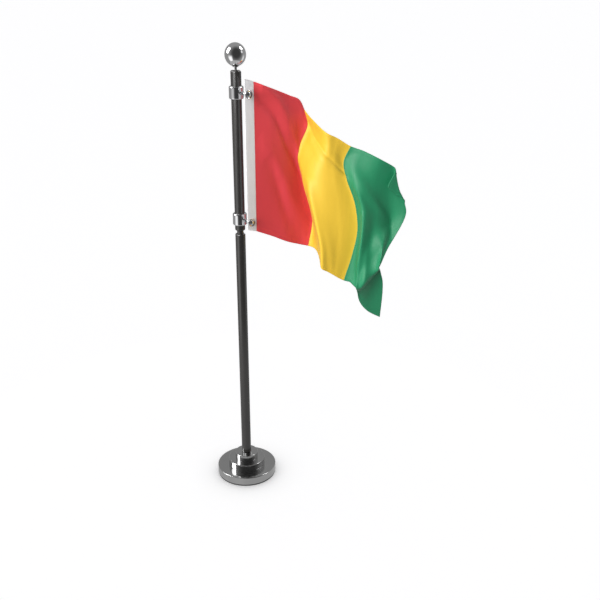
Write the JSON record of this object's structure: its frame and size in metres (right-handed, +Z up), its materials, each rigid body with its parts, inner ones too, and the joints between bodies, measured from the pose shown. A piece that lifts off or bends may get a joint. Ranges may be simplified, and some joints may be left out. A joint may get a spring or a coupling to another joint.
{
  "type": "desk flag stand",
  "caption": "Desk flag stand: stepped round base, black pole with a swivelling upper half, ball finial, clamp rings with thumb nuts and a three-band flag.",
  "frame": {"origin": "centre of the underside of the base pad, on the desk", "axes": "+Z up along the pole; +X the way the flag flies; the thumb nuts face -Y, towards the viewer"},
  "size_m": [0.181, 0.06, 0.4343],
  "materials": {
    "base_metal": "dark nickel plate, satin polished",
    "pole_black": "satin black enamel",
    "chrome": "polished",
    "steel": "zinc plated",
    "black_steel": "black oxide",
    "bearing_plastic": "black acetal",
    "pad_rubber": "matt foam rubber",
    "eyelet_brass": "nickel plated brass",
    "heading_white": "white woven tape",
    "cloth_red": "satin polyester",
    "cloth_yellow": "satin polyester",
    "cloth_green": "satin polyester"
  },
  "bodies": {
    "stand": {"base_disc": "base_metal", "base_middle_tier": "base_metal", "base_pole_collar": "base_metal", "base_pad": "pad_rubber", "base_bolt": "steel", "base_bolt_washer": "steel", "lower_pole": "pole_black", "pole_foot_plug": "steel", "swivel_spindle": "pole_black", "swivel_thrust_washer": "bearing_plastic", "swivel_clip": "steel"},
    "mast": {"upper_pole": "pole_black", "swivel_lower_bush": "pole_black", "swivel_upper_bush": "bearing_plastic", "upper_pole_cap": "pole_black", "finial_stem": "black_steel"},
    "finial_lock": {"finial_washer": "black_steel"},
    "finial": {"finial_ball": "chrome"},
    "flag_carrier": {"upper_clamp_ring": "chrome", "lower_clamp_ring": "chrome", "upper_ring_stud": "chrome", "lower_ring_stud": "chrome", "upper_eyelet": "eyelet_brass", "lower_eyelet": "eyelet_brass", "flag_heading_tape": "heading_white", "flag_red_band": "cloth_red", "flag_yellow_band": "cloth_yellow", "flag_green_band": "cloth_green"},
    "upper_nut_seat": {"upper_nut_washer": "steel"},
    "upper_nut": {"upper_thumb_nut": "chrome"},
    "lower_nut_seat": {"lower_nut_washer": "steel"},
    "lower_nut": {"lower_thumb_nut": "chrome"}
  },
  "joints": [
    {"name": "pole_swivel", "type": "hinge", "parent": "stand", "child": "mast", "pos_m": [0, 0, 0.2638], "axis": [0, 0, 1], "continuous": true},
    {"name": "flag_height", "type": "slide", "parent": "mast", "child": "flag_carrier", "axis": [0, 0, 1], "range_m": [-0.004, 0.012]},
    {"name": "finial_rise", "type": "slide", "parent": "mast", "child": "finial_lock", "axis": [0, 0, 1], "range_m": [0, 0.0025]},
    {"name": "finial_unscrew", "type": "hinge", "parent": "finial_lock", "child": "finial", "pos_m": [0, 0, 0.424], "axis": [0, 0, 1], "range_deg": [0, 2160]},
    {"name": "upper_nut_back_off", "type": "slide", "parent": "flag_carrier", "child": "upper_nut_seat", "axis": [0.6691, -0.7431, 0], "range_m": [0, 0.0016]},
    {"name": "upper_nut_unscrew", "type": "hinge", "parent": "upper_nut_seat", "child": "upper_nut", "pos_m": [0.01138, -0.01263, 0.392], "axis": [0.6691, -0.7431, 0], "range_deg": [0, 1080]},
    {"name": "lower_nut_back_off", "type": "slide", "parent": "flag_carrier", "child": "lower_nut_seat", "axis": [0.6691, -0.7431, 0], "range_m": [0, 0.0016]},
    {"name": "lower_nut_unscrew", "type": "hinge", "parent": "lower_nut_seat", "child": "lower_nut", "pos_m": [0.01138, -0.01263, 0.2765], "axis": [0.6691, -0.7431, 0], "range_deg": [0, 1080]}
  ],
  "couplings": [
    {"joint": "finial_rise", "follows": "finial_unscrew", "m_per_rad": 0.000063662},
    {"joint": "upper_nut_back_off", "follows": "upper_nut_unscrew", "m_per_rad": 0.000079577},
    {"joint": "lower_nut_back_off", "follows": "lower_nut_unscrew", "m_per_rad": 0.000079577}
  ]
}
